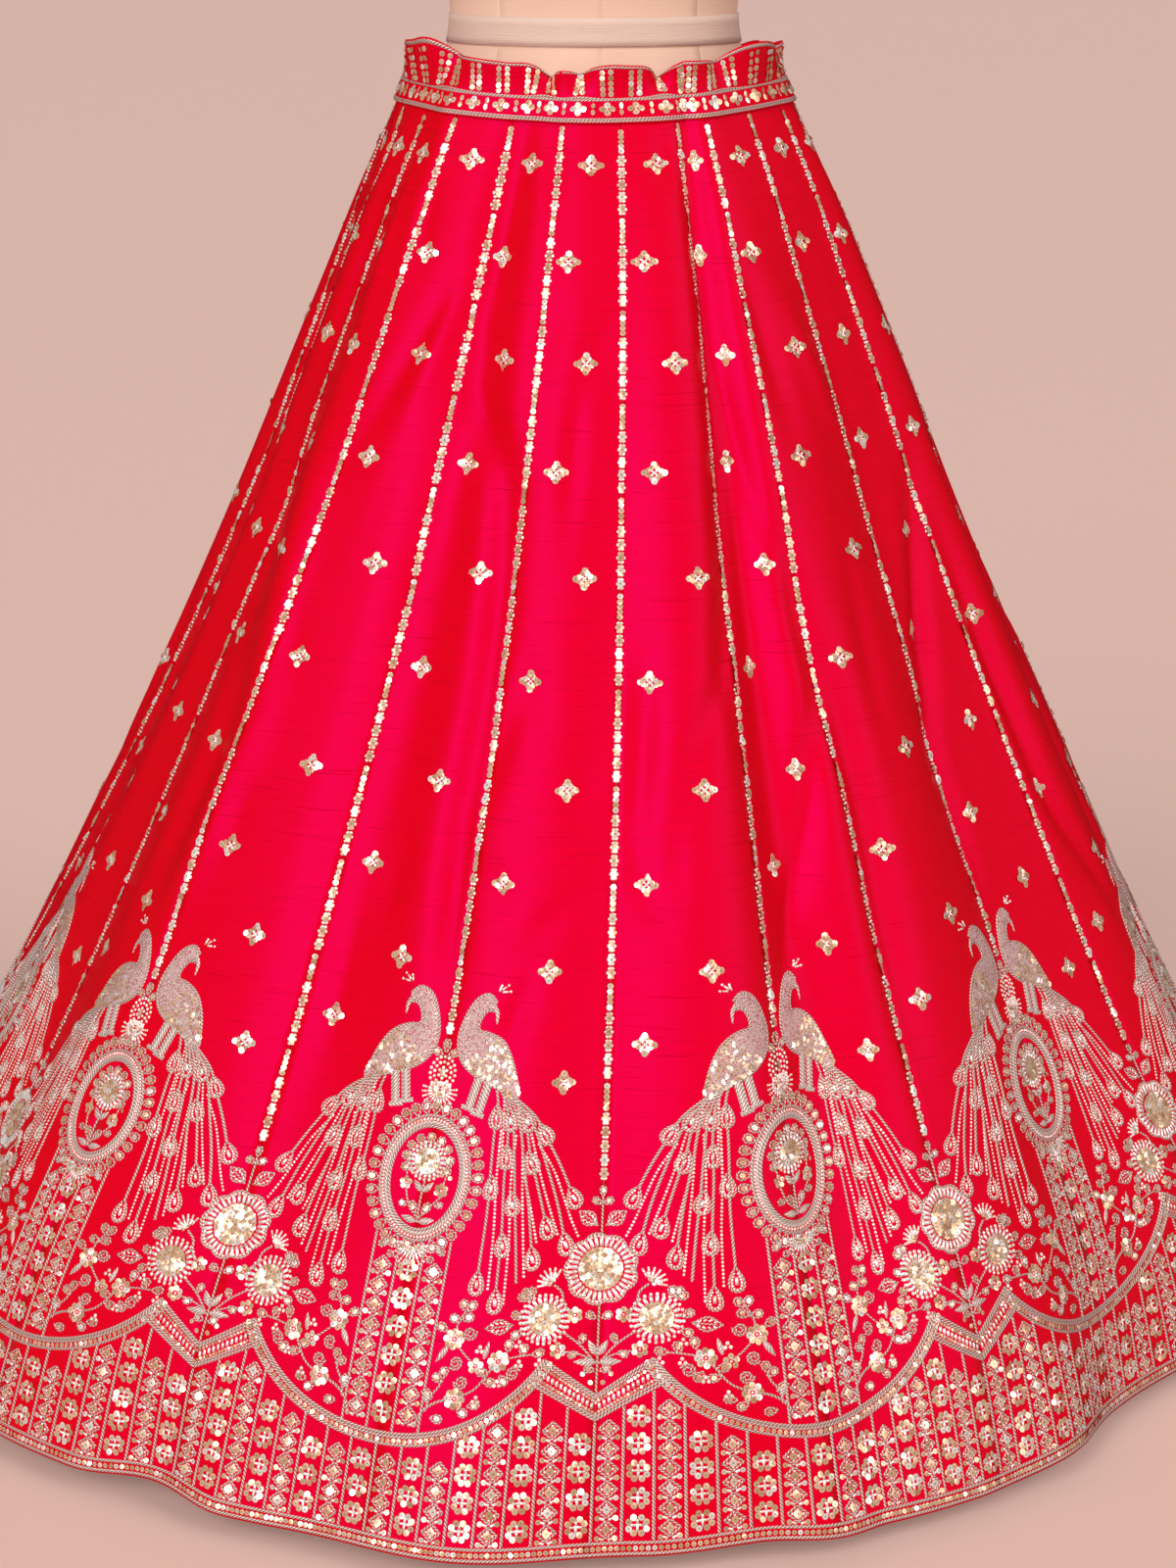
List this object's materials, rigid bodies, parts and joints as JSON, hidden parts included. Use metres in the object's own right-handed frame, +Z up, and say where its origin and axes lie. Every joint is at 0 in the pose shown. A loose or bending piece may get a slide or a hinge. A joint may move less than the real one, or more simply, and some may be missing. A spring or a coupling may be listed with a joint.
{
  "type": "lehenga skirt on a dress form",
  "caption": "Flared floor-length lehenga skirt of crimson silk panels with metallic thread embroidery and a gathered waistband, worn on a limbless dress form with a round stand.",
  "frame": {"origin": "centre of the underside of the stand's round base, on the floor", "axes": "+Z up along the dress form's pole, the skirt's front looks along -Y, +X is the wearer's left"},
  "size_m": [1.2116, 1.2386, 1.4973],
  "materials": {
    "crimson_silk": "slubbed raw silk with metallic thread, sequin and bead embroidery",
    "zari_braid": "couched metallic thread and sequins",
    "lilac_lining": "plain woven lining",
    "form_canvas": "matt linen over a hard shell",
    "form_ribbon": "thin woven tape",
    "turned_wood": "satin varnish",
    "brushed_steel": "brushed",
    "painted_iron": "satin black paint"
  },
  "bodies": {
    "root": {"form_torso": "form_canvas", "form_waist_tape": "form_ribbon", "hem_braid": "zari_braid", "hem_lining": "lilac_lining", "neck_cap": "turned_wood", "panel_01": "crimson_silk", "panel_02": "crimson_silk", "panel_03": "crimson_silk", "panel_04": "crimson_silk", "panel_05": "crimson_silk", "panel_06": "crimson_silk", "panel_07": "crimson_silk", "panel_08": "crimson_silk", "panel_09": "crimson_silk", "panel_10": "crimson_silk", "panel_11": "crimson_silk", "panel_12": "crimson_silk", "panel_13": "crimson_silk", "panel_14": "crimson_silk", "panel_15": "crimson_silk", "panel_16": "crimson_silk", "panel_17": "crimson_silk", "panel_18": "crimson_silk", "panel_19": "crimson_silk", "panel_20": "crimson_silk", "panel_21": "crimson_silk", "panel_22": "crimson_silk", "panel_23": "crimson_silk", "panel_24": "crimson_silk", "pole_socket": "turned_wood", "stand_base": "painted_iron", "stand_pole": "brushed_steel", "waistband": "crimson_silk"}
  },
  "joints": []
}
